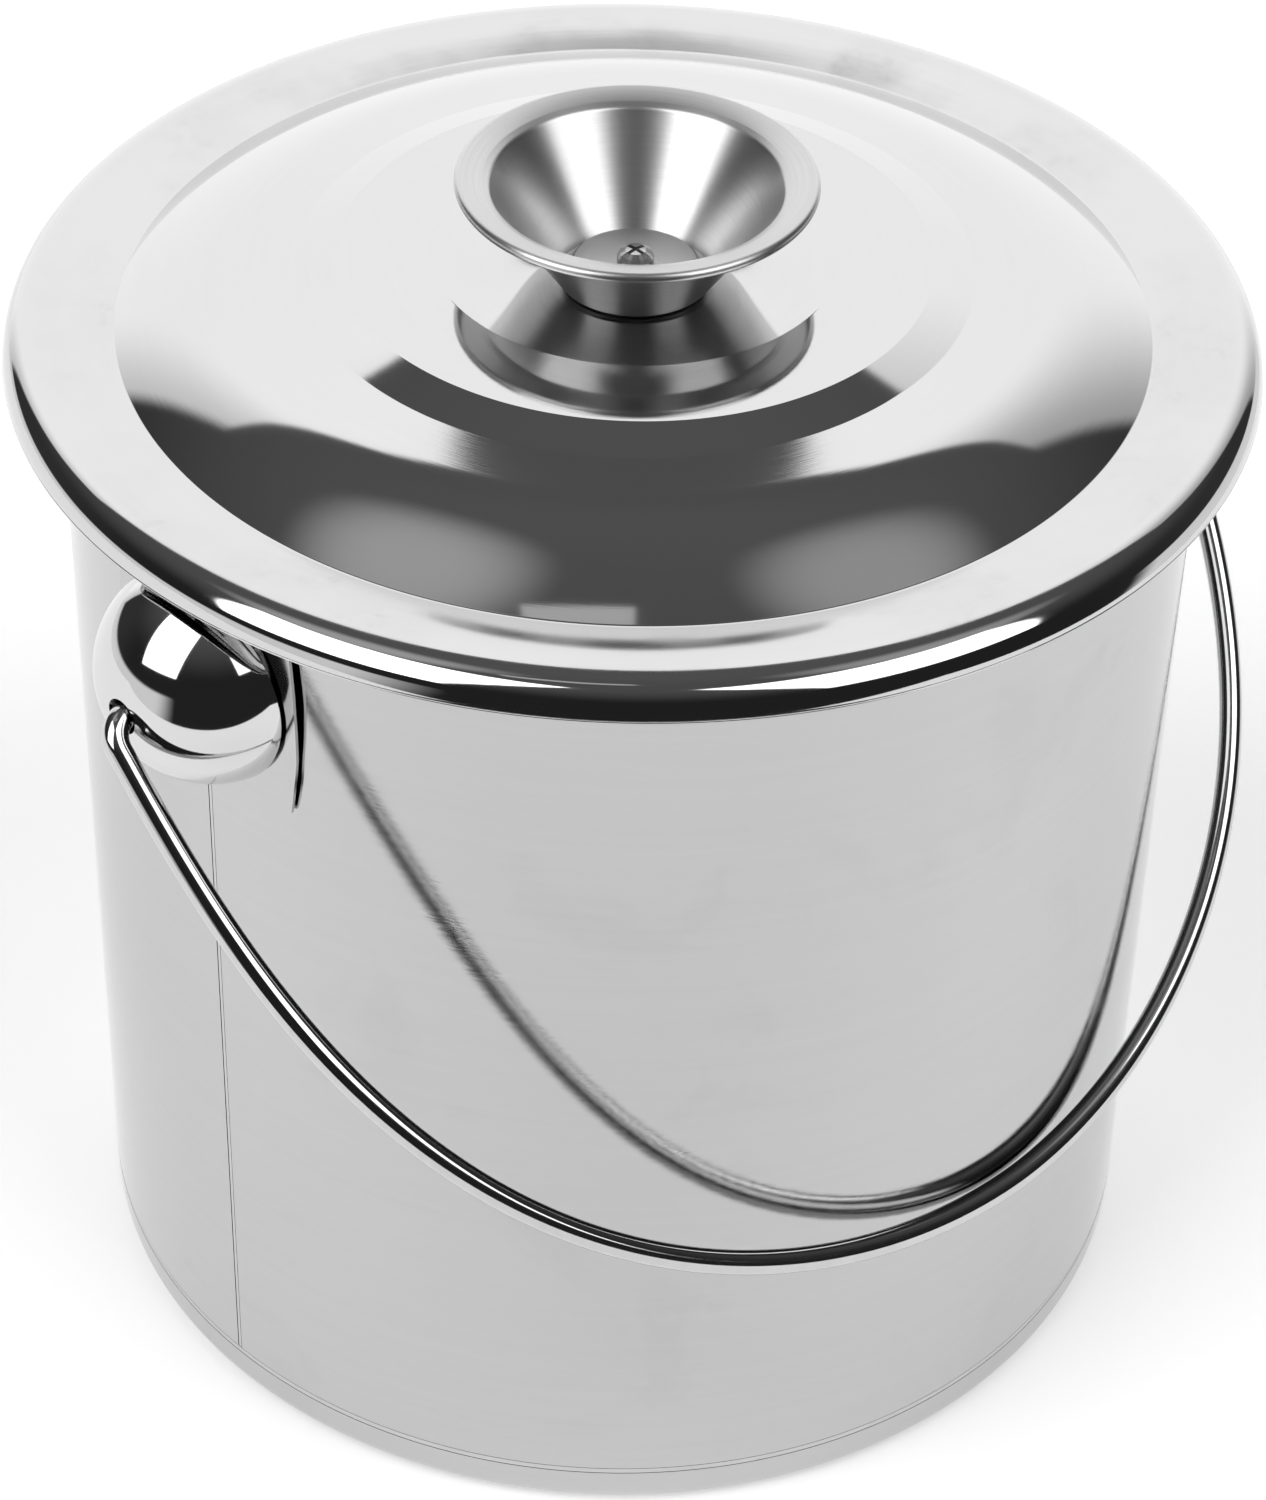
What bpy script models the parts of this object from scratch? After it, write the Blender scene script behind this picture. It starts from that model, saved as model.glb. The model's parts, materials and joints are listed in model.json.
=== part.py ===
"""Stainless steel milk pail, 18 cm, with a loose knobbed lid and a swinging wire bail.

Metres, +Z up. The origin is the middle of the base, on the surface the pail stands on.
The ears are on the X axis and the bail rests against the -Y side of the wall.
"""
import math

import bmesh
import bpy

# Clearances
GAP = 0.0003

# Body
WALL_R = 0.0900
SHEET = 0.0006
BASE_CORNER_R = 0.0035
BASE_TOP_Z = 0.0074
WELD_H = 0.0006
WALL_BOTTOM_Z = BASE_TOP_Z + WELD_H + 2.0 * GAP
CURL_R = 0.0013
CURL_CENTRE_Z = 0.1760
CURL_END_DEG = -120.0
SEAM_SLOT_W = 0.0012
SEAM_TOP_Z = 0.1713

# Ears
EAR_Z = 0.1542
BALL_R = 0.0172
BALL_CENTRE_X = 0.0888
BALL_HOLE_R = 0.0030
PLATE_HALF_W = 0.0196
PLATE_HALF_H = 0.0189
PLATE_ROUNDING = 0.16
PLATE_INNER_X = WALL_R + 0.00035
PLATE_BEND_R = 0.1150

# Bail
WIRE_R = 0.0020
BAIL_HALF_SPAN = 0.1088
BAIL_DEPTH = 0.1367
BAIL_SIDE_POWER = 1.9
BAIL_CROWN_POWER = 2.7
BAIL_ELBOW_R = 0.0045
BAIL_END_X = 0.0950
BAIL_REST_GAP = 0.0004

# Lid, heights above the lower edge of its lip
LIP_Z = 0.1734
LID_SHEET = 0.0005
SCREW_HOLE_R = 0.0019
SEAT_R = 0.0130
SEAT_H = 0.0101
DISH_R = 0.0318
TOP_R = 0.0463
TOP_H = 0.0149
STEP_R = 0.0528
STEP_H = 0.0128
SHOULDER_R = 0.0598
SHOULDER_H = 0.0117
CREASE_R = 0.0812
CREASE_H = 0.0036
DOME_END_DEG = 28.0
BRIM_TOP_R = 0.0928
BRIM_TOP_H = 0.0056
LIP_R = 0.0987

# Knob, heights above the lower edge of the lid's lip
CUP_SHEET = 0.0006
CUP_FOOT_H = SEAT_H + GAP
CUP_FLOOR_H = 0.0129
CUP_FLOOR_R = 0.0100
CUP_FOOT_R = 0.0114
CUP_MOUTH_R = 0.0231
CUP_MOUTH_H = 0.0277
CUP_RIM_R = 0.0282
CUP_RIM_H = 0.0284
CUP_BEAD_R = 0.0009

# M3 fastening
SCREW_R = 0.0015
HEAD_R = 0.0029
HEAD_H = 0.0021
SCREW_LENGTH = 0.0080
CROSS_LENGTH = 0.0034
CROSS_WIDTH = 0.0007
CROSS_DEPTH = 0.0011
WASHER_R = 0.0035
WASHER_H = 0.0005
NUT_ACROSS_FLATS = 0.0055
NUT_H = 0.0024
NUT_BORE_R = 0.0018

# Facets
BODY_STEPS = 48
KNOB_STEPS = 28
BALL_STEPS = 24
SMALL_STEPS = 24
MERGE = 0.00001

parts = None
cutters = None


def clear_scene():
    """Empty the scene."""
    for item in list(bpy.data.objects):
        bpy.data.objects.remove(item)


def new_collection(name):
    """A collection linked to the scene."""
    collection = bpy.data.collections.new(name)
    bpy.context.scene.collection.children.link(collection)
    return collection


def steel(name, grey, roughness):
    """A stainless steel material."""
    material = bpy.data.materials.new(name)
    material.use_nodes = True
    shader = material.node_tree.nodes["Principled BSDF"]
    shader.inputs["Base Color"].default_value = (grey, grey, grey * 0.99, 1.0)
    shader.inputs["Roughness"].default_value = roughness
    shader.inputs["Metallic"].default_value = 1.0
    return material


def add_object(name, mesh, material=None, collection=None):
    """Link a mesh as a named object."""
    item = bpy.data.objects.new(name, mesh)
    (collection or parts).objects.link(item)
    if material is not None:
        mesh.materials.append(material)
    return item


def round_shading(mesh, angle_deg=35.0):
    """Smooth shading with sharp edges kept."""
    mesh.shade_smooth()
    mesh.set_sharp_from_angle(angle=math.radians(angle_deg))


def arc(centre, radius, start_deg, end_deg, count):
    """Points (r, z) on an arc, both ends included."""
    points = []
    for i in range(count + 1):
        angle = math.radians(start_deg + (end_deg - start_deg) * i / count)
        points.append((centre[0] + radius * math.cos(angle), centre[1] + radius * math.sin(angle)))
    return points


def turned(name, profile, steps, material, closed=False, sheet=0.0):
    """Turn a profile of (r, z) points about Z; an open one is thickened to a sheet."""
    mesh = bpy.data.meshes.new(name)
    form = bmesh.new()
    corners = [form.verts.new((r, 0.0, z)) for r, z in profile]
    for first, second in zip(corners, corners[1:]):
        form.edges.new((first, second))
    if closed:
        form.edges.new((corners[-1], corners[0]))
    form.to_mesh(mesh)
    form.free()
    item = add_object(name, mesh, material)
    turn = item.modifiers.new("Turn", "SCREW")
    turn.axis = "Z"
    turn.angle = 2.0 * math.pi
    turn.steps = steps
    turn.render_steps = steps
    turn.use_merge_vertices = True
    turn.merge_threshold = MERGE
    if sheet > 0.0:
        thicken = item.modifiers.new("Sheet", "SOLIDIFY")
        thicken.thickness = sheet
        thicken.offset = -1.0
        thicken.use_even_offset = True
    return item


def box_cutter(name, size, location):
    """A closed box used as a cutter."""
    mesh = bpy.data.meshes.new(name)
    form = bmesh.new()
    bmesh.ops.create_cube(form, size=1.0)
    bmesh.ops.scale(form, vec=size, verts=form.verts)
    form.to_mesh(mesh)
    form.free()
    return as_cutter(add_object(name, mesh, None, cutters), location)


def round_cutter(name, radius, length, segments, location):
    """A closed vertical cylinder used as a cutter."""
    mesh = bpy.data.meshes.new(name)
    form = bmesh.new()
    bmesh.ops.create_cone(
        form, cap_ends=True, segments=segments, radius1=radius, radius2=radius, depth=length
    )
    form.to_mesh(mesh)
    form.free()
    return as_cutter(add_object(name, mesh, None, cutters), location)


def as_cutter(item, location):
    """Place a cutter and keep it out of the model."""
    item.location = location
    item.hide_render = True
    item.display_type = "WIRE"
    return item


def cut(item, cutter):
    """Take the cutter away from the object."""
    boolean = item.modifiers.new("Cut", "BOOLEAN")
    boolean.operation = "DIFFERENCE"
    boolean.solver = "EXACT"
    boolean.object = cutter


def build_wall(material):
    """The rolled wall with its outward curl, and the slot that its seam weld fills."""
    centre = (WALL_R + CURL_R, CURL_CENTRE_Z)
    profile = arc(centre, CURL_R, CURL_END_DEG, 180.0, 6)
    profile.append((WALL_R, WALL_BOTTOM_Z))
    wall = turned("wall_sheet", profile, BODY_STEPS, material, sheet=SHEET)
    height = SEAM_TOP_Z
    slot = box_cutter("wall_seam_slot", (0.012, SEAM_SLOT_W, height), (-WALL_R, 0.0, 0.5 * height))
    cut(wall, slot)


def build_welds(material):
    """The upright seam weld and the ring weld that joins the wall to the base."""
    bottom = WALL_BOTTOM_Z
    top = SEAM_TOP_Z - GAP
    mesh = bpy.data.meshes.new("wall_seam_weld")
    form = bmesh.new()
    bmesh.ops.create_cube(form, size=1.0)
    bmesh.ops.scale(form, vec=(SHEET, SEAM_SLOT_W - 2.0 * GAP, top - bottom), verts=form.verts)
    form.to_mesh(mesh)
    form.free()
    seam = add_object("wall_seam_weld", mesh, material)
    seam.location = (-(WALL_R - 0.5 * SHEET), 0.0, 0.5 * (top + bottom))
    low = BASE_TOP_Z + GAP
    ring = [
        (WALL_R - SHEET, low + WELD_H),
        (WALL_R, low + WELD_H),
        (WALL_R, low),
        (WALL_R - SHEET, low),
    ]
    turned("base_seam_weld", ring, BODY_STEPS, material, closed=True)


def build_base(material):
    """The drawn base pan with its rounded corner."""
    centre = (WALL_R - BASE_CORNER_R, BASE_CORNER_R)
    profile = [(WALL_R, BASE_TOP_Z)]
    profile += arc(centre, BASE_CORNER_R, 0.0, -90.0, 4)
    profile.append((0.0, 0.0))
    turned("base_pan", profile, BODY_STEPS, material, sheet=SHEET)


def plate_mesh(name):
    """A bent square plate with bowed edges; its hollow side faces -X."""
    mesh = bpy.data.meshes.new(name)
    form = bmesh.new()
    bmesh.ops.create_grid(form, x_segments=10, y_segments=6, size=1.0)
    for corner in form.verts:
        a, b = corner.co.x, corner.co.y
        across = PLATE_HALF_W * a * math.sqrt(1.0 - PLATE_ROUNDING * b * b)
        upward = PLATE_HALF_H * b * math.sqrt(1.0 - PLATE_ROUNDING * a * a)
        drop = PLATE_BEND_R - math.sqrt(PLATE_BEND_R**2 - across**2)
        corner.co = (-drop, across, upward)
    bmesh.ops.recalc_face_normals(form, faces=form.faces)
    if form.faces[0].normal.x < 0.0:
        bmesh.ops.reverse_faces(form, faces=form.faces)
    form.to_mesh(mesh)
    form.free()
    round_shading(mesh)
    return mesh


def build_ears(plate_steel, ball_steel):
    """A bent plate and a half ball on it at each side; the bail's ends enter the balls."""
    cutter_x = PLATE_INNER_X + SHEET + GAP - (PLATE_BEND_R + SHEET + GAP)
    for side, sign in (("left", -1.0), ("right", 1.0)):
        turn = 0.0 if sign > 0.0 else math.pi
        plate = add_object("ear_plate_" + side, plate_mesh("ear_plate_" + side), plate_steel)
        plate.location = (sign * PLATE_INNER_X, 0.0, EAR_Z)
        plate.rotation_euler = (0.0, 0.0, turn)
        thicken = plate.modifiers.new("Sheet", "SOLIDIFY")
        thicken.thickness = SHEET
        thicken.offset = 1.0
        thicken.use_even_offset = True

        hole_deg = math.degrees(math.acos(BALL_HOLE_R / BALL_R))
        profile = arc((0.0, 0.0), BALL_R, hole_deg, 0.0, 7)
        ball = turned("ear_ball_" + side, profile, BALL_STEPS, ball_steel, sheet=SHEET)
        ball.location = (sign * BALL_CENTRE_X, 0.0, EAR_Z)
        ball.rotation_euler = (0.0, sign * 0.5 * math.pi, 0.0)
        bed = round_cutter(
            "ear_bed_" + side,
            PLATE_BEND_R + SHEET + GAP,
            0.060,
            128,
            (sign * cutter_x, 0.0, EAR_Z),
        )
        cut(ball, bed)


def bail_path():
    """Centre line of the wire: (x, v), with v measured from the hinge axis to the crown."""
    side = []
    count = 22
    for i in range(count + 1):
        angle = 0.5 * math.pi * i / count
        x = BAIL_HALF_SPAN * math.sin(angle) ** (2.0 / BAIL_SIDE_POWER)
        v = BAIL_DEPTH * math.cos(angle) ** (2.0 / BAIL_CROWN_POWER)
        if v > 0.012:
            side.append((x, v))
    elbow_x = BAIL_HALF_SPAN - BAIL_ELBOW_R
    side += arc((elbow_x, BAIL_ELBOW_R), BAIL_ELBOW_R, 0.0, -90.0, 5)
    side.append((BAIL_END_X, 0.0))
    other = [(-x, v) for x, v in side[1:]]
    return list(reversed(other)) + side


def build_bail(material):
    """The wire handle, hinged on the line through both ears, resting near the wall."""
    curve = bpy.data.curves.new("bail_handle", "CURVE")
    curve.dimensions = "3D"
    curve.bevel_depth = WIRE_R
    curve.bevel_resolution = 2
    curve.use_fill_caps = True
    path = bail_path()
    spline = curve.splines.new("POLY")
    spline.points.add(len(path) - 1)
    for point, (x, v) in zip(spline.points, path):
        point.co = (x, 0.0, -v, 1.0)
    curve.materials.append(material)
    bail = bpy.data.objects.new("bail_handle", curve)
    parts.objects.link(bail)
    bail.location = (0.0, 0.0, EAR_Z)
    reach = (WALL_R + WIRE_R + BAIL_REST_GAP) / BAIL_DEPTH
    bail.rotation_euler = (-math.asin(reach), 0.0, 0.0)


def lid_profile():
    """Upper face of the lid from the screw hole out to the lip's edge."""
    points = [(SCREW_HOLE_R, SEAT_H), (SEAT_R, SEAT_H), (DISH_R, TOP_H)]
    points += [(TOP_R - 0.0005, TOP_H), (TOP_R + 0.0005, TOP_H - 0.00018), (STEP_R, STEP_H)]
    points += dome_points()
    points += [
        (CREASE_R + 0.0005, CREASE_H + 0.0001),
        (CREASE_R + 0.0053, CREASE_H + 0.00115),
        (BRIM_TOP_R - 0.0028, BRIM_TOP_H - 0.00025),
        (BRIM_TOP_R, BRIM_TOP_H),
        (LIP_R - 0.0035, BRIM_TOP_H - 0.00035),
        (LIP_R - 0.0021, BRIM_TOP_H - 0.0010),
        (LIP_R - 0.0012, BRIM_TOP_H - 0.00175),
        (LIP_R - 0.0006, BRIM_TOP_H - 0.0026),
        (LIP_R - 0.00025, BRIM_TOP_H - 0.0036),
        (LIP_R - 0.00005, 0.0010),
        (LIP_R, 0.0),
    ]
    return [(r, LIP_Z + h) for r, h in points]


def dome_points():
    """The dome from its shoulder down to the crease, steeper towards the crease."""
    count = 6
    width = CREASE_R - SHOULDER_R
    drop = SHOULDER_H - CREASE_H
    end_slope = math.tan(math.radians(DOME_END_DEG)) * width / drop
    points = []
    for i in range(count + 1):
        t = i / count
        fall = (2.0 - end_slope) * t + (end_slope - 1.0) * t * t
        points.append((SHOULDER_R + width * t, SHOULDER_H - drop * fall))
    return points


def build_lid(material):
    """The pressed lid: screw seat, dish, flat top, step, shoulder, dome, crease, brim and lip."""
    turned("lid_shell", lid_profile(), BODY_STEPS, material, sheet=LID_SHEET)


def knob_profile():
    """Upper face of the knob cup from the screw hole out to the bead of its rim."""
    foot_inner_h = CUP_FOOT_H + CUP_SHEET
    points = [
        (SCREW_HOLE_R, CUP_FLOOR_H),
        (CUP_FLOOR_R - 0.0004, CUP_FLOOR_H),
        (CUP_FLOOR_R, CUP_FLOOR_H - 0.0004),
        (CUP_FLOOR_R + 0.0002, foot_inner_h + 0.0003),
        (CUP_FLOOR_R + 0.0006, foot_inner_h),
        (CUP_FOOT_R, foot_inner_h),
        (CUP_FOOT_R + 0.0005, foot_inner_h + 0.0005),
        (CUP_MOUTH_R - 0.0011, CUP_MOUTH_H - 0.0017),
        (CUP_MOUTH_R - 0.0001, CUP_MOUTH_H - 0.0002),
        (CUP_MOUTH_R + 0.0009, CUP_RIM_H - 0.0001),
    ]
    points += arc((CUP_RIM_R - CUP_BEAD_R, CUP_RIM_H - CUP_BEAD_R), CUP_BEAD_R, 90.0, -60.0, 5)
    return [(r, LIP_Z + h) for r, h in points]


def build_knob(cup_steel, screw_steel):
    """The knob cup and its M3 screw, washer and nut."""
    turned("knob_cup", knob_profile(), KNOB_STEPS, cup_steel, sheet=CUP_SHEET)

    seat = LIP_Z + CUP_FLOOR_H + GAP
    crown = seat + HEAD_H
    tip = seat - SCREW_LENGTH
    profile = [(0.0, crown)]
    profile += [(HEAD_R * 0.55, crown - 0.00015), (HEAD_R * 0.88, crown - 0.0006)]
    profile += [(HEAD_R, crown - 0.0013), (HEAD_R, seat), (SCREW_R, seat)]
    profile += [(SCREW_R, tip + 0.0004), (SCREW_R - 0.0004, tip), (0.0, tip)]
    screw = turned("knob_screw", profile, SMALL_STEPS, screw_steel)
    for label, size in (
        ("along", (CROSS_LENGTH, CROSS_WIDTH, 2.0 * CROSS_DEPTH)),
        ("across", (CROSS_WIDTH, CROSS_LENGTH, 2.0 * CROSS_DEPTH)),
    ):
        cut(screw, box_cutter("cross_" + label, size, (0.0, 0.0, crown)))

    under_lid = LIP_Z + SEAT_H - LID_SHEET - GAP
    washer_low = under_lid - WASHER_H
    ring = [
        (NUT_BORE_R, under_lid),
        (WASHER_R, under_lid),
        (WASHER_R, washer_low),
        (NUT_BORE_R, washer_low),
    ]
    turned("knob_washer", ring, SMALL_STEPS, screw_steel, closed=True)
    build_nut(washer_low - GAP, screw_steel)


def build_nut(top, material):
    """A hexagon nut with its bore."""
    mesh = bpy.data.meshes.new("knob_nut")
    form = bmesh.new()
    radius = 0.5 * NUT_ACROSS_FLATS / math.cos(math.pi / 6.0)
    bmesh.ops.create_cone(
        form, cap_ends=True, segments=6, radius1=radius, radius2=radius, depth=NUT_H
    )
    form.to_mesh(mesh)
    form.free()
    nut = add_object("knob_nut", mesh, material)
    nut.location = (0.0, 0.0, top - 0.5 * NUT_H)
    cut(nut, round_cutter("nut_bore", NUT_BORE_R, 2.0 * NUT_H, 16, nut.location))


def main():
    """Build every piece of the pail."""
    global parts, cutters
    clear_scene()
    parts = new_collection("milk_pail")
    cutters = new_collection("cutters")
    brushed = steel("brushed_steel", 0.66, 0.28)
    weld = steel("weld_steel", 0.55, 0.38)
    polished = steel("polished_steel", 0.72, 0.06)
    satin = steel("satin_steel", 0.60, 0.30)
    fastener = steel("fastener_steel", 0.55, 0.25)
    build_wall(brushed)
    build_welds(weld)
    build_base(brushed)
    build_ears(brushed, polished)
    build_bail(polished)
    build_lid(polished)
    build_knob(satin, fastener)


main()
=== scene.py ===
"""Looks of the stainless steel milk pail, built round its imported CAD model.

Each CAD node but the knob's screw, washer and nut is replaced by a finer piece in the same place.
Lengths are in metres, except in the lid's and knob's tables, which are in millimetres.
"""
import json
import math
from collections import namedtuple
from functools import cached_property

import bmesh
import bpy
import numpy as np
from mathutils import Matrix, Vector


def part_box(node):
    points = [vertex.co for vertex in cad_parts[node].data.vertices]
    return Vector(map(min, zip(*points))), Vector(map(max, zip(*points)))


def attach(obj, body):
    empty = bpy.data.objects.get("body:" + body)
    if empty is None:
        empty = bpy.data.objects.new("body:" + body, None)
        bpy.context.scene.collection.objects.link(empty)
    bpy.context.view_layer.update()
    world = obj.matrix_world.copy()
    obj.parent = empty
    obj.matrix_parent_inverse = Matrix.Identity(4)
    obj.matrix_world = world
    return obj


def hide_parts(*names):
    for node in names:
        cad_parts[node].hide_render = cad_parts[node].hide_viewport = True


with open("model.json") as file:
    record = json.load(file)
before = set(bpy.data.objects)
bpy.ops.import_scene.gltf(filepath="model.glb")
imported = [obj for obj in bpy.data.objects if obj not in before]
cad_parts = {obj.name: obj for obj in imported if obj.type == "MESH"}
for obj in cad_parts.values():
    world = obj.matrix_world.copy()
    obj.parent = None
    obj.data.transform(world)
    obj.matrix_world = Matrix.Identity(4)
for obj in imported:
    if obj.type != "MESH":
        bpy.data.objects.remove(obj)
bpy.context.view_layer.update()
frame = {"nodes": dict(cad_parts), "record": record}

# ---------------------------------------------------------------- places from the CAD
wall_low, wall_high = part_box("wall_sheet")
pan_low, pan_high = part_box("base_pan")
weld_low, weld_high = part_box("base_seam_weld")
joints = {joint["name"]: joint for joint in frame["record"]["behaviour"]["joints"]}

LIP_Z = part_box("lid_shell")[0].z
WALL_R = 0.5 * (pan_high.x - pan_low.x)
EAR_Z = joints["bail_swing"]["pos_m"][2]

# ---------------------------------------------------------------- sheets and wire
SHEET = 0.0006
LID_SHEET = 0.0005
WIRE_R = 0.0020
BAIL_DEPTH = 0.1367
BAIL_HALF_WIDTH = 0.1088
MM = 0.001


# ---------------------------------------------------------------- mesh helpers
def fillet(corners):
    """A line through (r, z) or (r, z, radius) corners, each one rounded by its radius."""
    arc_step = 6.0
    out = []
    last = len(corners) - 1
    for i, corner in enumerate(corners):
        radius = corner[2] if len(corner) > 2 else 0.0
        here = Vector(corner[:2])
        if radius <= 0.0 or i in (0, last):
            out.append(tuple(corner[:2]))
            continue
        a = Vector(corners[i - 1][:2]) - here
        b = Vector(corners[i + 1][:2]) - here
        longest = 0.49 * min(a.length, b.length)
        a.normalize()
        b.normalize()
        half = 0.5 * a.angle(b)
        reach = min(radius / math.tan(half), longest)
        centre = here + (a + b).normalized() * (reach / math.cos(half))
        u = here + a * reach - centre
        v = here + b * reach - centre
        turn = u.angle_signed(v)
        count = max(3, int(abs(math.degrees(turn)) / arc_step) + 2)
        for k in range(count + 1):
            t = -turn * k / count
            c, s = math.cos(t), math.sin(t)
            out.append((centre.x + c * u.x - s * u.y, centre.y + s * u.x + c * u.y))
    return out


def no_twins(profile, closest=5e-6):
    """The profile without points that nearly coincide."""
    out = [profile[0]]
    for q in profile[1:]:
        if math.hypot(q[0] - out[-1][0], q[1] - out[-1][1]) > closest:
            out.append(q)
    return out


def to_mesh(name, verts, faces, sharp=32.0):
    """A mesh object with its normals outward, smooth up to a sharp angle in degrees."""
    mesh = bpy.data.meshes.new(name)
    mesh.from_pydata(verts, [], faces)
    form = bmesh.new()
    form.from_mesh(mesh)
    bmesh.ops.remove_doubles(form, verts=form.verts, dist=1e-7)
    bmesh.ops.recalc_face_normals(form, faces=form.faces)
    form.to_mesh(mesh)
    form.free()
    mesh.shade_smooth()
    mesh.set_sharp_from_angle(angle=math.radians(sharp))
    obj = bpy.data.objects.new(name, mesh)
    bpy.context.scene.collection.objects.link(obj)
    return obj


def offset_line(profile, distance):
    """The profile moved sideways by distance, to its right as it runs."""
    p = np.array(profile, float)
    d = np.gradient(p, axis=0)
    d /= np.maximum(np.linalg.norm(d, axis=1, keepdims=True), 1e-12)
    return [(max(0.0, float(q[0] + t[1] * distance)), float(q[1] - t[0] * distance)) for q, t in zip(p, d)]


def turned(name, profile, steps, sheet=0.0, start=0.0, sweep=2.0 * math.pi, sharp=32.0):
    """A solid of revolution about Z. An open profile gets a sheet thickness to its right."""
    line = no_twins(profile)
    loop = line + offset_line(line, sheet)[::-1] if sheet > 0.0 else line
    full = sweep > 2.0 * math.pi - 1e-6
    rings = steps if full else steps + 1
    verts = []
    for i in range(rings):
        a = start + sweep * i / steps
        c, s = math.cos(a), math.sin(a)
        verts += [(r * c, r * s, z) for r, z in loop]
    n = len(loop)
    faces = []
    for i in range(steps):
        j = (i + 1) % rings
        for k in range(n):
            m = (k + 1) % n
            faces.append((i * n + k, j * n + k, j * n + m, i * n + m))
    if not full:
        faces.append(tuple(range(n)))
        faces.append(tuple(range((rings - 1) * n, rings * n)))
    return to_mesh(name, verts, faces, sharp)


def sweep_bar(name, path, radius, sides=28):
    """A round bar with flat ends along a path of 3-D points."""
    pts = [Vector(p) for p in path]
    last = len(pts) - 1
    side = (pts[1] - pts[0]).normalized().orthogonal().normalized()
    verts, faces = [], []
    for i, p in enumerate(pts):
        ahead = (pts[min(i + 1, last)] - pts[max(i - 1, 0)]).normalized()
        side = (side - ahead * side.dot(ahead)).normalized()
        up = ahead.cross(side)
        for k in range(sides):
            a = 2.0 * math.pi * k / sides
            verts.append(p + (side * math.cos(a) + up * math.sin(a)) * radius)
    for i in range(last):
        for k in range(sides):
            m = (k + 1) % sides
            faces.append((i * sides + k, i * sides + m, (i + 1) * sides + m, (i + 1) * sides + k))
    faces.append(tuple(range(sides)))
    faces.append(tuple(range(last * sides, (last + 1) * sides)))
    return to_mesh(name, verts, faces)


def finish_with(obj, material):
    """Gives the object this one material."""
    obj.data.materials.clear()
    obj.data.materials.append(material)


def place(obj, material, body, node):
    """Finishes the piece and puts it on its CAD body in place of this node."""
    finish_with(obj, material)
    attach(obj, body)
    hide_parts(node)


# ---------------------------------------------------------------- node helpers
Axes = namedtuple("Axes", "x y z r")


class NodeTree:
    """Maths on the sockets of a shader tree."""

    def __init__(self, tree):
        self.tree = tree

    def plug(self, value, socket):
        """Puts a number or another socket into a node's input."""
        if isinstance(value, (int, float)):
            socket.default_value = value
        else:
            self.tree.links.new(value, socket)

    def math(self, op, a, b=None):
        """A maths node on sockets or numbers."""
        node = self.tree.nodes.new("ShaderNodeMath")
        node.operation = op
        self.plug(a, node.inputs[0])
        if b is not None:
            self.plug(b, node.inputs[1])
        return node.outputs[0]

    def times(self, *values):
        """The product of sockets or numbers."""
        product = values[0]
        for value in values[1:]:
            product = self.math("MULTIPLY", product, value)
        return product

    def ramp(self, value, low, high, out_low=0.0, out_high=1.0):
        """A smooth ramp from out_low to out_high as value goes from low to high."""
        node = self.tree.nodes.new("ShaderNodeMapRange")
        node.interpolation_type = "SMOOTHSTEP"
        node.inputs["From Min"].default_value = low
        node.inputs["From Max"].default_value = high
        node.inputs["To Min"].default_value = out_low
        node.inputs["To Max"].default_value = out_high
        self.tree.links.new(value, node.inputs["Value"])
        return node.outputs["Result"]


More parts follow.
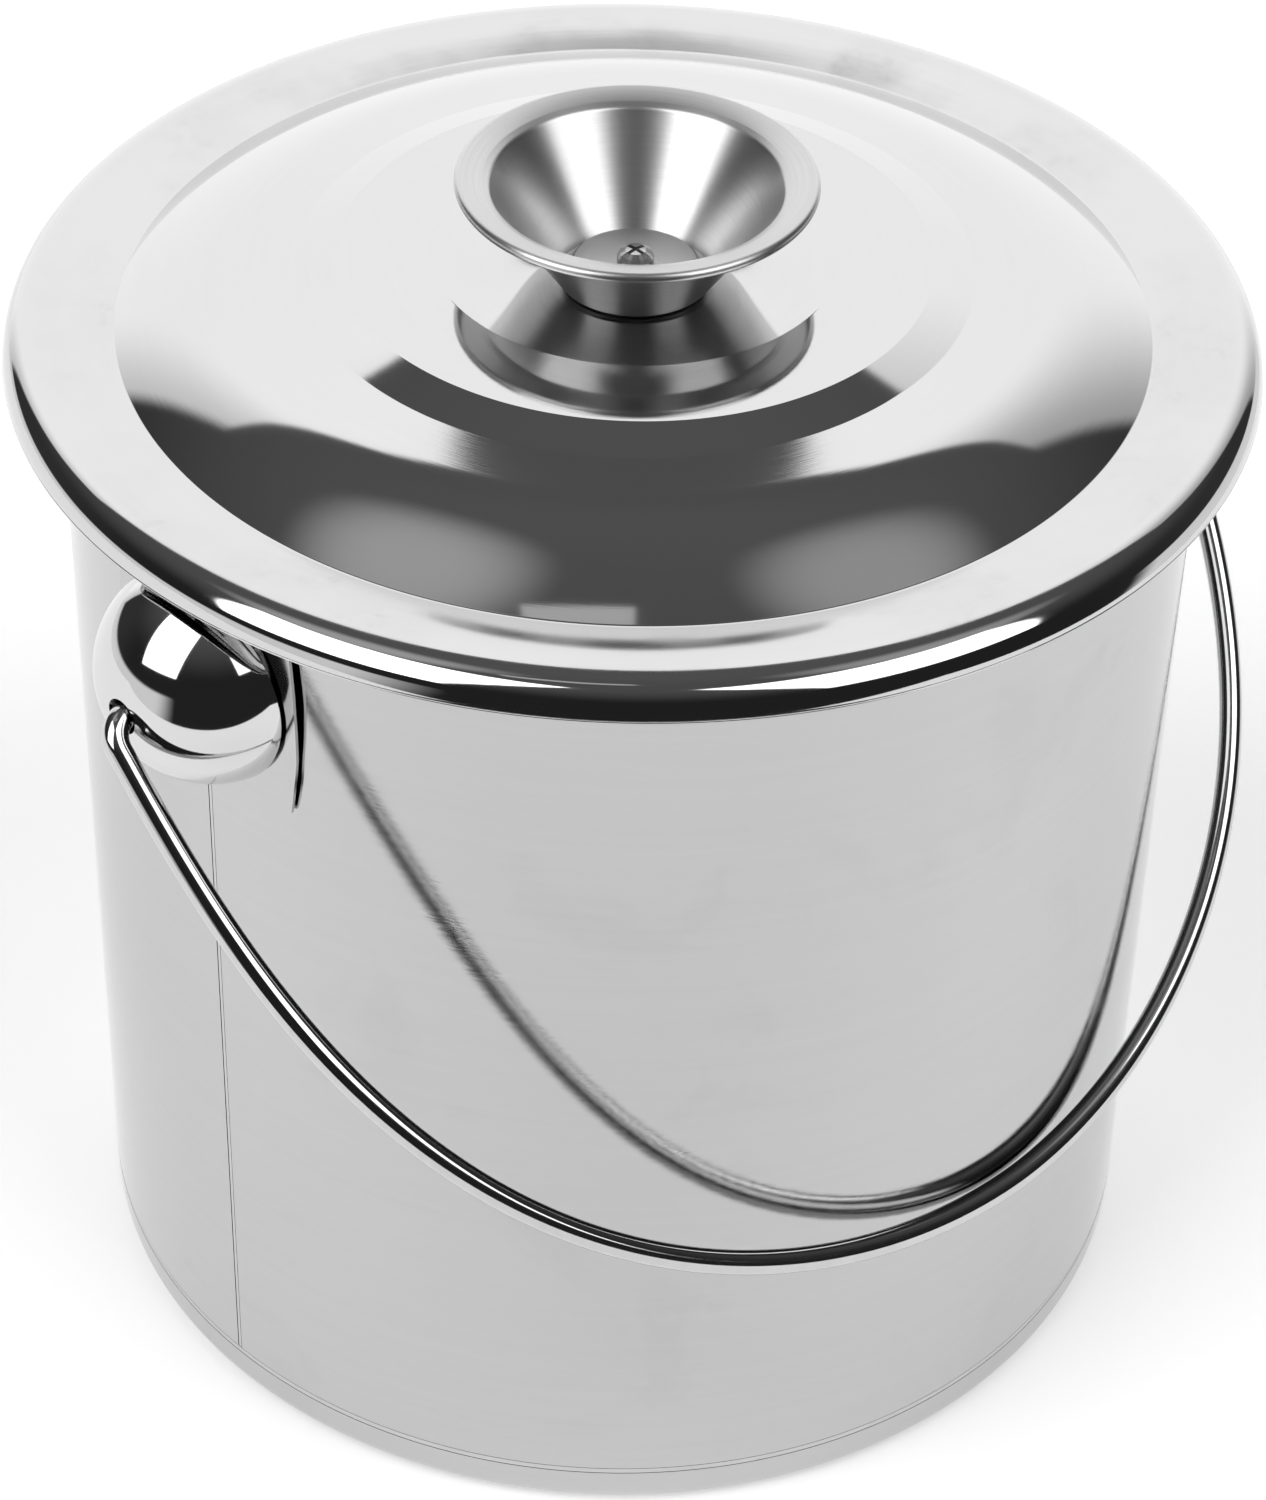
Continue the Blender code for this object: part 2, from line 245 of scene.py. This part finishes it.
class Steel(NodeTree):
    """A stainless steel material over the object's own coordinates."""

    def __init__(self, name, grey, anisotropic=0.0, turn=0.0):
        self.material = bpy.data.materials.new(name)
        self.material.use_nodes = True
        super().__init__(self.material.node_tree)
        self.shader = self.tree.nodes["Principled BSDF"]
        self.shader.inputs["Base Color"].default_value = (grey, grey, grey, 1.0)
        self.shader.inputs["Metallic"].default_value = 1.0
        self.shader.inputs["Anisotropic"].default_value = anisotropic
        self.shader.inputs["Anisotropic Rotation"].default_value = turn
        if anisotropic:
            tangent = self.tree.nodes.new("ShaderNodeTangent")
            tangent.direction_type = "RADIAL"
            tangent.axis = "Z"
            self.tree.links.new(tangent.outputs[0], self.shader.inputs["Tangent"])
        self.point = self.tree.nodes.new("ShaderNodeTexCoord").outputs["Object"]
        self.bumps = None

    @cached_property
    def axes(self):
        """The point's x, y and z, and its distance r from the Z axis."""
        node = self.tree.nodes.new("ShaderNodeSeparateXYZ")
        self.tree.links.new(self.point, node.inputs[0])
        x, y, z = node.outputs
        return Axes(x, y, z, self.math("SQRT", self.math("ADD", self.times(x, x), self.times(y, y))))

    def combine(self, x, y, z):
        """A vector from three sockets."""
        node = self.tree.nodes.new("ShaderNodeCombineXYZ")
        for value, socket in zip((x, y, z), node.inputs):
            self.tree.links.new(value, socket)
        return node.outputs[0]

    def noise(self, scale, detail=3.0, rough=0.5, distort=0.0, at=None):
        """Noise from 0 to 1, over the object's coordinates or at another vector."""
        node = self.tree.nodes.new("ShaderNodeTexNoise")
        node.inputs["Scale"].default_value = scale
        node.inputs["Detail"].default_value = detail
        node.inputs["Roughness"].default_value = rough
        node.inputs["Distortion"].default_value = distort
        self.tree.links.new(at or self.point, node.inputs["Vector"])
        return node.outputs["Fac"]

    def grooves(self, value, around, pitch):
        """Noise drawn out along circles about Z: fine by pitch across value, coarse by around."""
        cos = self.times(self.math("DIVIDE", self.axes.x, self.axes.r), around)
        sin = self.times(self.math("DIVIDE", self.axes.y, self.axes.r), around)
        return self.noise(1.0, detail=2.0, rough=0.6, at=self.combine(cos, sin, self.times(value, pitch)))

    def bump(self, height, distance):
        """Adds a bump of this height over those before it."""
        node = self.tree.nodes.new("ShaderNodeBump")
        node.inputs["Distance"].default_value = distance
        self.tree.links.new(height, node.inputs["Height"])
        if self.bumps is not None:
            self.tree.links.new(self.bumps, node.inputs["Normal"])
        self.bumps = node.outputs["Normal"]

    def weigh(self, base, *terms):
        """The base and each (socket, weight) added up."""
        total = base
        for socket, weight in terms:
            total = self.math("ADD", self.times(socket, weight), total)
        return total

    def roughness(self, base, *terms):
        """Sets the roughness to the base and each (socket, weight) added up."""
        self.tree.links.new(self.weigh(base, *terms), self.shader.inputs["Roughness"])

    def greys(self, fac, plain, marked):
        """Sets the colour from the plain to the marked grey by fac."""
        node = self.tree.nodes.new("ShaderNodeMix")
        node.data_type = "RGBA"
        node.inputs["A"].default_value = (plain, plain, plain, 1.0)
        node.inputs["B"].default_value = (marked, marked, marked, 1.0)
        self.tree.links.new(fac, node.inputs["Factor"])
        self.tree.links.new(node.outputs["Result"], self.shader.inputs["Base Color"])

    def done(self):
        """Links the bumps and gives the material."""
        self.tree.links.new(self.bumps, self.shader.inputs["Normal"])
        return self.material


# ---------------------------------------------------------------- materials
def wall_material():
    """Brushed sheet: grooves round the wall, faint smudges, and a slight waviness."""
    m = Steel("wall_brushed_steel", grey=0.66, anisotropic=0.2, turn=0.25)
    fine = m.grooves(m.axes.z, around=5.0, pitch=9000.0)
    broad = m.grooves(m.axes.z, around=1.6, pitch=700.0)
    smudges = m.ramp(m.noise(28.0, detail=4.0, rough=0.62, distort=0.6), 0.57, 0.70)
    near_mouth = m.times(broad, m.ramp(m.axes.z, 0.10, 0.17))
    m.roughness(0.03, (fine, 0.04), (broad, 0.04), (smudges, 0.05), (near_mouth, 0.05))
    m.bump(fine, 0.0000035)
    m.bump(broad, 0.000006)
    m.bump(m.noise(14.0, detail=2.0), 0.00012)
    m.greys(m.weigh(0.0, (smudges, 0.35), (broad, 0.5)), plain=0.53, marked=0.48)
    return m.done()


def lid_material():
    """Polished sheet, with a duller and scuffed brim between the crease and the lip."""
    m = Steel("lid_polished_steel", grey=0.66)
    brim = m.times(m.ramp(m.axes.r, 0.0808, 0.0816), m.ramp(m.axes.r, 0.0925, 0.0955, 1.0, 0.0))
    fine = m.grooves(m.axes.r, around=7.0, pitch=7000.0)
    broad = m.grooves(m.axes.r, around=2.2, pitch=900.0)
    haze = m.noise(22.0, rough=0.55)
    patch = m.ramp(m.noise(38.0, rough=0.55), 0.42, 0.66)
    scratch = m.ramp(m.noise(260.0, detail=5.0, rough=0.65, distort=0.4), 0.48, 0.80)
    scuffs = m.times(scratch, patch, brim)
    dull = m.times(patch, brim)
    worn = m.times(fine, brim)
    marks = ((brim, 0.035), (dull, 0.06), (scuffs, 0.08), (worn, 0.06), (fine, 0.02), (haze, 0.02))
    m.roughness(0.035, *marks)
    m.bump(fine, 0.0000012)
    m.bump(scuffs, 0.000003)
    m.bump(m.noise(18.0, detail=1.5), 0.00005)
    m.greys(m.weigh(0.0, (scuffs, 0.35), (dull, 0.2), (broad, 0.2)), plain=0.63, marked=0.54)
    return m.done()


def ear_material():
    """Mirror polish with slight waves."""
    m = Steel("ear_polished_steel", grey=0.66)
    speck = m.noise(900.0, detail=2.0)
    soft = m.noise(60.0)
    m.roughness(0.02, (speck, 0.02), (soft, 0.04))
    m.bump(m.noise(45.0, detail=1.0), 0.00003)
    m.greys(soft, plain=0.63, marked=0.68)
    return m.done()


def wire_material():
    """Polished wire with drawing marks."""
    m = Steel("bail_polished_wire", grey=0.62)
    stretched = m.combine(m.times(m.axes.x, 60.0), m.times(m.axes.y, 900.0), m.times(m.axes.z, 60.0))
    draw = m.noise(1.0, detail=2.0, at=stretched)
    speck = m.noise(700.0, rough=0.6)
    m.roughness(0.04, (draw, 0.06), (speck, 0.03))
    m.bump(speck, 0.000002)
    m.greys(draw, plain=0.62, marked=0.54)
    return m.done()


def knob_material():
    """Satin sheet with turning lines round the cup."""
    m = Steel("knob_turned_steel", grey=0.60, anisotropic=0.6, turn=0.25)
    along = m.math("ADD", m.axes.r, m.axes.z)
    lines = m.grooves(along, around=3.0, pitch=14000.0)
    broad = m.grooves(along, around=1.0, pitch=2500.0)
    grain = m.noise(1500.0, detail=2.0)
    m.roughness(0.23, (lines, 0.08), (broad, 0.06), (grain, 0.04))
    m.bump(lines, 0.000004)
    m.bump(broad, 0.000004)
    m.greys(broad, plain=0.62, marked=0.52)
    return m.done()


def weld_material():
    """A ground weld bead with ripples."""
    m = Steel("weld_ground_steel", grey=0.56)
    ripple = m.noise(1400.0, rough=0.6)
    patch = m.noise(120.0, rough=0.6)
    m.roughness(0.14, (ripple, 0.08), (patch, 0.08))
    m.bump(ripple, 0.000008)
    m.greys(patch, plain=0.60, marked=0.50)
    return m.done()


def screw_material():
    """Bright steel with a fine grain, for the screw, washer and nut."""
    m = Steel("screw_bright_steel", grey=0.55)
    grain = m.noise(2500.0, rough=0.6)
    m.roughness(0.16, (grain, 0.14))
    m.bump(grain, 0.000006)
    m.greys(grain, plain=0.58, marked=0.46)
    return m.done()


WALL = wall_material()
LID = lid_material()
BALL = ear_material()
WIRE = wire_material()
KNOB = knob_material()
WELD = weld_material()
SCREW = screw_material()


# ---------------------------------------------------------------- pail body
def wall_section():
    """The wall's outer line: an open roll at the mouth, then straight down to the foot."""
    curl_r, curl_z = 0.0013, wall_high.z - 0.0019
    curl_from, curl_sweep, curl_steps, wall_steps = -120.0, 300.0, 24, 29
    line = []
    for k in range(curl_steps + 1):
        a = math.radians(curl_from + curl_sweep * k / curl_steps)
        line.append((WALL_R + curl_r + curl_r * math.cos(a), curl_z + curl_r * math.sin(a)))
    top, bottom = line[-1][1], wall_low.z
    for k in range(1, wall_steps + 1):
        line.append((WALL_R, top + (bottom - top) * k / wall_steps))
    return line


def build_wall():
    """The rolled wall with its upright seam at -X, and the weld bead in that seam."""
    slot_half, bead_half, bead_depth = 0.00044, 0.00029, 0.00004
    line = wall_section()
    slot = slot_half / WALL_R
    wall = turned("wall_skin", line, 320, SHEET, math.pi + slot, 2.0 * math.pi - 2.0 * slot)
    place(wall, WALL, "pail", "wall_sheet")
    half = bead_half / WALL_R
    bead_line = [(r - bead_depth, z) for r, z in line]
    bead = turned("wall_weld_bead", bead_line, 2, SHEET - 2.0 * bead_depth, math.pi - half, 2.0 * half)
    place(bead, WELD, "pail", "wall_seam_weld")


def build_base():
    """The ring weld between wall and base, slightly crowned, and the base pan."""
    overlap, shy, crown = 0.00018, 0.00002, 0.00003
    low, high = weld_low.z - overlap, weld_high.z + overlap
    outer, inner, top = WALL_R - shy, WALL_R - SHEET, WALL_R + crown
    section = [(inner, high), (outer, high), (top, 0.5 * (low + high)), (outer, low), (inner, low)]
    bead = turned("base_weld_bead", section, 320)
    place(bead, WELD, "pail", "base_seam_weld")
    line = fillet([(WALL_R, pan_high.z), (WALL_R, 0.0, 0.0042), (0.060, 0.0), (0.030, 0.0), (0.0, 0.0)])
    pan = turned("base_pan_skin", line, 320, SHEET)
    place(pan, WALL, "pail", "base_pan")


# ---------------------------------------------------------------- ears
def edge_gap(height):
    """How far the plate's side edges stand off the wall, from its foot (-1) to its top (1)."""
    heights = [-1.0, -0.86, -0.7, -0.52, -0.40, -0.2, 0.15, 0.5, 0.8, 1.0]
    gaps = [0.05, 0.30, 0.42, 0.30, 0.24, 0.60, 0.95, 0.80, 0.45, 0.25]
    return float(np.interp(height, heights, gaps))


def plate_point(sign, a, b, layer):
    """A point of the plate at a across and b up, both from -1 to 1, on its inner or outer face."""
    half_w, half_h, rounding = 0.0196, 0.0189, 0.16
    off_wall, middle, curl, curl_power = 0.00032, 0.30, 0.0013, 1.7
    across = half_w * a * math.sqrt(1.0 - rounding * b * b)
    upward = half_h * b * math.sqrt(1.0 - rounding * a * a)
    lift = curl * max(0.0, abs(a) - middle) ** curl_power * edge_gap(b)
    r = WALL_R + off_wall + lift + SHEET * layer
    angle = across / (WALL_R + 0.001)
    return sign * r * math.cos(angle), sign * r * math.sin(angle), EAR_Z + upward


def build_plate(side, sign):
    """The ear's square plate, bent round the wall, with its side edges standing off."""
    n = 40
    row = n + 1
    size = row * row
    points = []
    for layer in (0, 1):
        for i in range(row):
            points += [plate_point(sign, 2.0 * i / n - 1.0, 2.0 * k / n - 1.0, layer) for k in range(row)]
    faces = []
    for i in range(n):
        for k in range(n):
            a = i * row + k
            faces.append((a, a + 1, a + row + 1, a + row))
            faces.append((size + a, size + a + row, size + a + row + 1, size + a + 1))
    for end in (0, n):
        for k in range(n):
            a, b = end * row + k, k * row + end
            faces.append((a, a + 1, size + a + 1, size + a))
            faces.append((b, b + row, size + b + row, size + b))
    plate = to_mesh("ear_plate_skin_" + side, points, faces)
    place(plate, WALL, "pail", "ear_plate_" + side)


def build_ball(side, sign):
    """The ear's hollow half ball, with the bail's hole outside and its open edge on the plate."""
    radius, centre_x, hole = 0.0176, 0.0884, 0.0029
    base_r = WALL_R + 0.0013 + SHEET
    steps, rings = 96, 60
    first = math.asin(hole / radius)
    verts, faces = [], []
    for rad in (radius, radius - SHEET):
        for k in range(rings + 1):
            for i in range(steps):
                phi = 2.0 * math.pi * i / steps
                y_dir, z_dir = math.cos(phi), math.sin(phi)
                foot = math.sqrt(base_r**2 - (radius * y_dir) ** 2) - centre_x
                a = first + (math.acos(foot / rad) - first) * k / rings
                x, out = centre_x + rad * math.cos(a), rad * math.sin(a)
                verts.append((sign * x, out * y_dir, EAR_Z + out * z_dir))
    size = (rings + 1) * steps
    for i in range(steps):
        j = (i + 1) % steps
        for k in range(rings):
            a, b = k * steps + i, k * steps + j
            faces.append((a, b, b + steps, a + steps))
            faces.append((size + a, size + a + steps, size + b + steps, size + b))
        a, b = rings * steps + i, rings * steps + j
        faces.append((i, j, size + j, size + i))
        faces.append((a, b, size + b, size + a))
    ball = to_mesh("ear_ball_skin_" + side, verts, faces)
    place(ball, BALL, "pail", "ear_ball_" + side)


# ---------------------------------------------------------------- bail
def bail_path():
    """The bail in its own plane, as (x, drop): two superellipse sides and a bend into each ear."""
    side_power, crown_power, count, knee = 1.9, 2.7, 160, 0.0075
    bend, bend_steps = 0.0042, 14
    half = []
    for i in range(count + 1):
        a = 0.5 * math.pi * i / count
        drop = BAIL_DEPTH * math.cos(a) ** (2.0 / crown_power)
        if drop > knee:
            half.append((BAIL_HALF_WIDTH * math.sin(a) ** (2.0 / side_power), drop))
    for k in range(bend_steps + 1):
        a = math.radians(-90.0 * k / bend_steps)
        half.append((BAIL_HALF_WIDTH - bend + bend * math.cos(a), bend + bend * math.sin(a)))
    half += [(0.0985, 0.0), (0.0950, 0.0)]
    return [(-x, drop) for x, drop in reversed(half[1:])] + half


def build_bail():
    """The wire bail, leaning so that it rests just off the wall on the -Y side."""
    off_wall = 0.0004
    lean = math.asin((WALL_R + WIRE_R + off_wall) / BAIL_DEPTH)
    path = [(x, -drop * math.sin(lean), EAR_Z - drop * math.cos(lean)) for x, drop in bail_path()]
    bail = sweep_bar("bail_wire", path, WIRE_R)
    place(bail, WIRE, "bail", "bail_handle")


# ---------------------------------------------------------------- lid
# (radius, slope in degrees) of the lid's upper face, in millimetres: down the dome from the
# step's foot to the crease, up the brim, and down over the lip to the hem
DOME_SLOPES = [
    (59.8, 9.4), (62.0, 11.0), (65.0, 15.0), (68.0, 18.6), (72.0, 22.4), (76.0, 25.4), (81.2, 29.0),
]
BRIM_SLOPES = [
    (81.6, -11.4), (84.0, -11.3), (86.5, -10.7), (88.5, -8.6), (90.5, -5.0), (92.0, -1.5), (92.6, 0.0),
]
LIP_SLOPES = [
    (92.6, 0.0), (93.6, 7.5), (94.6, 14.0), (95.4, 21.0), (96.2, 31.0), (96.8, 40.0), (97.3, 49.0),
    (97.8, 59.0), (98.15, 68.0), (98.4, 76.0), (98.52, 83.0), (98.56, 86.0),
]
DOME_FOOT = (59.8, 11.65)
PLATEAU_H = 14.9


def along_slopes(table, start_h, step):
    """Points (r, h) from the table's first radius to its last, falling by its slopes."""
    radii, slopes = zip(*table)
    r, h = radii[0], start_h
    out = [(r, h)]
    while r < radii[-1] - 1e-6:
        reach = min(step, radii[-1] - r)
        h -= reach * math.tan(math.radians(np.interp(r + 0.5 * reach, radii, slopes)))
        r += reach
        out.append((r, h))
    return out


def lid_line():
    """The lid's upper face from the dish to the hem, heights above the lip's lower edge."""
    line = fillet([
        (1.9, 10.1), (12.6, 10.1, 3.0), (31.8, PLATEAU_H, 0.6), (38.0, PLATEAU_H),
        (46.3, PLATEAU_H, 1.0), (52.8, 12.85, 1.6), DOME_FOOT,
    ])
    line += along_slopes(DOME_SLOPES, DOME_FOOT[1], 0.4)[1:]
    line += along_slopes(BRIM_SLOPES, line[-1][1] + 0.06, 0.25)
    line += along_slopes(LIP_SLOPES, line[-1][1], 0.07)[1:]
    edge_r, edge_h = line[-1]
    groove = [(0.01, 0.05), (-0.20, 0.10), (-0.18, 0.15), (0.05, 0.20)]
    line += [(edge_r + out, edge_h - drop) for out, drop in groove]
    line += [(edge_r + 0.04, 0.06), (edge_r - 0.08, 0.0)]
    return [(MM * r, LIP_Z + MM * h) for r, h in line]


def build_lid():
    """The one-piece lid."""
    shell = turned("lid_skin", lid_line(), 320, LID_SHEET, sharp=40.0)
    place(shell, LID, "lid", "lid_shell")


def build_knob():
    """The spun cup that serves as the knob, with a narrow flange and a rolled rim."""
    rim_r, rim_h, roll, roll_from, roll_sweep, roll_steps = 27.3, 27.5, 0.85, 90.0, 170.0, 12
    line = fillet([
        (1.9, 12.9), (9.95, 12.9, 0.45), (10.3, 11.0, 0.35), (11.55, 11.0, 0.5),
        (22.8, 27.0, 1.4), (24.0, 27.5, 1.0), (27.2, 28.35),
    ])
    for k in range(roll_steps + 1):
        a = math.radians(roll_from - roll_sweep * k / roll_steps)
        line.append((rim_r + roll * math.cos(a), rim_h + roll * math.sin(a)))
    cup = turned("knob_cup_skin", [(MM * r, LIP_Z + MM * h) for r, h in line], 240, SHEET)
    place(cup, KNOB, "lid", "knob_cup")


build_wall()
build_base()
for ear_side, ear_sign in (("left", -1.0), ("right", 1.0)):
    build_plate(ear_side, ear_sign)
    build_ball(ear_side, ear_sign)
build_bail()
build_lid()
build_knob()
for fastener in ("knob_screw", "knob_washer", "knob_nut"):
    finish_with(frame["nodes"][fastener], SCREW)


# ---------------------------------------------------------------- stage, light and camera
VIEW_TURN = math.radians(46.0)
AWAY = Vector((math.sin(VIEW_TURN), math.cos(VIEW_TURN), 0.0))
ASIDE = Vector((math.cos(VIEW_TURN), -math.sin(VIEW_TURN), 0.0))
UP = Vector((0.0, 0.0, 1.0))


def build_floor():
    """A sheet of white paper: long to the back and left, with its edge close in front."""
    left, right, front, back, cells, below = -1.6, 0.46, -0.39, 1.6, 30, 0.0004
    row = cells + 1
    verts, faces = [], []
    for i in range(row):
        for k in range(row):
            across = left + (right - left) * i / cells
            deep = front + (back - front) * k / cells
            verts.append(ASIDE * across + AWAY * deep - UP * below)
    for i in range(cells):
        for k in range(cells):
            a = i * row + k
            faces.append((a, a + row, a + row + 1, a + 1))
    floor = to_mesh("studio_floor", verts, faces)
    if floor.data.polygons[0].normal.z < 0.0:
        floor.data.flip_normals()
    paper = bpy.data.materials.new("studio_paper")
    paper.use_nodes = True
    shader = paper.node_tree.nodes["Principled BSDF"]
    shader.inputs["Base Color"].default_value = (0.86, 0.86, 0.86, 1.0)
    shader.inputs["Emission Color"].default_value = (1.0, 1.0, 1.0, 1.0)
    shader.inputs["Emission Strength"].default_value = 0.32
    shader.inputs["Roughness"].default_value = 0.9
    shader.inputs["Specular IOR Level"].default_value = 0.1
    floor.data.materials.append(paper)


def toward(azimuth, elevation):
    """The direction at an azimuth to the right of the front and an elevation, in degrees."""
    a, e = math.radians(azimuth), math.radians(elevation)
    return (ASIDE * math.sin(a) - AWAY * math.cos(a)) * math.cos(e) + UP * math.sin(e)


class Sky(NodeTree):
    """The studio around the pail, as light strengths over directions."""

    def __init__(self, world):
        super().__init__(world.node_tree)
        self.direction = self.tree.nodes.new("ShaderNodeTexCoord").outputs["Generated"]
        self.away = self.dot(AWAY)
        self.aside = self.dot(ASIDE)
        self.up = self.dot(UP)

    def dot(self, vector):
        """How far the direction lies along a vector."""
        node = self.tree.nodes.new("ShaderNodeVectorMath")
        node.operation = "DOT_PRODUCT"
        self.tree.links.new(self.direction, node.inputs[0])
        node.inputs[1].default_value = vector
        return node.outputs["Value"]

    def backdrop(self):
        """A flat white backdrop behind, its top edge and sides straight, dimmer to the sides."""
        top_slope, side_slope, strength = 1.30, 1.02, 1.22
        below_top = self.math("SUBTRACT", self.times(self.away, top_slope), self.up)
        width = self.times(self.away, side_slope)
        inside = self.math("SUBTRACT", width, self.math("ABSOLUTE", self.aside))
        right_fade = self.ramp(self.math("SUBTRACT", width, self.aside), -0.02, 0.45, 0.35, 1.0)
        left_fade = self.ramp(self.math("ADD", width, self.aside), -0.02, 0.28, 0.6, 1.0)
        shape = self.times(self.ramp(below_top, -0.01, 0.02), self.ramp(inside, -0.02, 0.04))
        return self.times(shape, right_fade, left_fade, strength)

    def room(self):
        """A dim room, darkest in front, with a greyer ceiling."""
        ceiling = self.ramp(self.up, 0.35, 1.0, 0.020, 0.10)
        return self.math("ADD", ceiling, self.ramp(self.away, -0.2, 0.5, 0.0, 0.02))

    def paper(self):
        """White paper carried on below the horizon, to the left and behind."""
        leftward = self.ramp(self.aside, -0.75, -0.45, 1.0, 0.0)
        left = self.times(self.ramp(self.up, 0.0, 0.06, 0.85, 0.0), leftward)
        behind = self.times(self.ramp(self.up, -0.04, 0.0, 0.9, 0.0), self.ramp(self.away, 0.0, 0.15))
        return self.math("MAXIMUM", left, behind)

    def softbox(self, azimuth, elevation, half_w, half_h, roll, strength, edge=0.03):
        """An even rectangle of light, its half sizes at a distance of one."""
        to, t = toward(azimuth, elevation), math.radians(roll)
        right = UP.cross(to).normalized()
        over = to.cross(right)
        u = right * math.cos(t) + over * math.sin(t)
        v = over * math.cos(t) - right * math.sin(t)
        ahead = self.math("MAXIMUM", self.dot(to), 1e-4)
        wide = self.math("ABSOLUTE", self.math("DIVIDE", self.dot(u), ahead))
        high = self.math("ABSOLUTE", self.math("DIVIDE", self.dot(v), ahead))
        in_width = self.ramp(wide, half_w - edge, half_w, 1.0, 0.0)
        in_height = self.ramp(high, half_h - edge, half_h, 1.0, 0.0)
        return self.times(in_width, in_height, self.ramp(self.dot(to), 0.05, 0.15), strength)

    def glow(self, azimuth, elevation, spread, strength):
        """A soft round glow that fades out at spread degrees from its centre."""
        centred = self.dot(toward(azimuth, elevation))
        return self.ramp(centred, math.cos(math.radians(spread)), 1.0, 0.0, strength)


def build_world():
    """A white backdrop and soft lights in a dim room. The camera itself sees plain white."""
    world = bpy.data.worlds.new("studio")
    bpy.context.scene.world = world
    world.use_nodes = True
    sky = Sky(world)
    total = sky.math("MAXIMUM", sky.math("ADD", sky.backdrop(), sky.room()), sky.paper())
    lights = (
        sky.softbox(-55.0, 44.0, half_w=0.39, half_h=0.48, roll=9.0, strength=3.0),
        sky.softbox(58.0, 46.0, half_w=0.36, half_h=0.44, roll=-9.0, strength=2.6),
        sky.softbox(-54.0, 84.0, half_w=0.105, half_h=0.04, roll=54.0, strength=0.45, edge=0.008),
        sky.glow(-109.0, 68.0, spread=15.5, strength=0.37),
        sky.glow(107.0, 65.0, spread=15.5, strength=0.30),
    )
    for light in lights:
        total = sky.math("ADD", total, light)
    path = sky.tree.nodes.new("ShaderNodeLightPath")
    seen = sky.tree.nodes.new("ShaderNodeMix")
    seen.inputs["B"].default_value = 1.0
    sky.tree.links.new(path.outputs["Is Camera Ray"], seen.inputs["Factor"])
    sky.tree.links.new(total, seen.inputs["A"])
    background = sky.tree.nodes["Background"]
    background.inputs["Color"].default_value = (1.0, 1.0, 1.0, 1.0)
    sky.tree.links.new(seen.outputs["Result"], background.inputs["Strength"])


def build_camera():
    """The camera fitted to the photo, looking down at the lid from the front."""
    pan, pitch, roll = math.radians(0.168), math.radians(39.045), math.radians(1.530)
    distance, above_lip = 0.5633, 0.3721
    focal_over_height, sensor = 4270.0 / 1500.0, 36.0
    ahead = ASIDE * math.sin(pan) + AWAY * math.cos(pan)
    right = ASIDE * math.cos(pan) - AWAY * math.sin(pan)
    look = ahead * math.cos(pitch) - UP * math.sin(pitch)
    over = ahead * math.sin(pitch) + UP * math.cos(pitch)
    x_axis = right * math.cos(roll) + over * math.sin(roll)
    y_axis = over * math.cos(roll) - right * math.sin(roll)
    eye = UP * (LIP_Z + above_lip) - AWAY * distance
    data = bpy.data.cameras.new("photo_camera")
    camera = bpy.data.objects.new("photo_camera", data)
    bpy.context.scene.collection.objects.link(camera)
    rotation = Matrix((x_axis, y_axis, -look)).transposed()
    camera.matrix_world = Matrix.Translation(eye) @ rotation.to_4x4()
    data.sensor_width = sensor
    data.lens = focal_over_height * sensor
    data.clip_start = 0.01
    bpy.context.scene.camera = camera


build_floor()
build_world()
build_camera()
bpy.context.scene.view_settings.view_transform = "Standard"
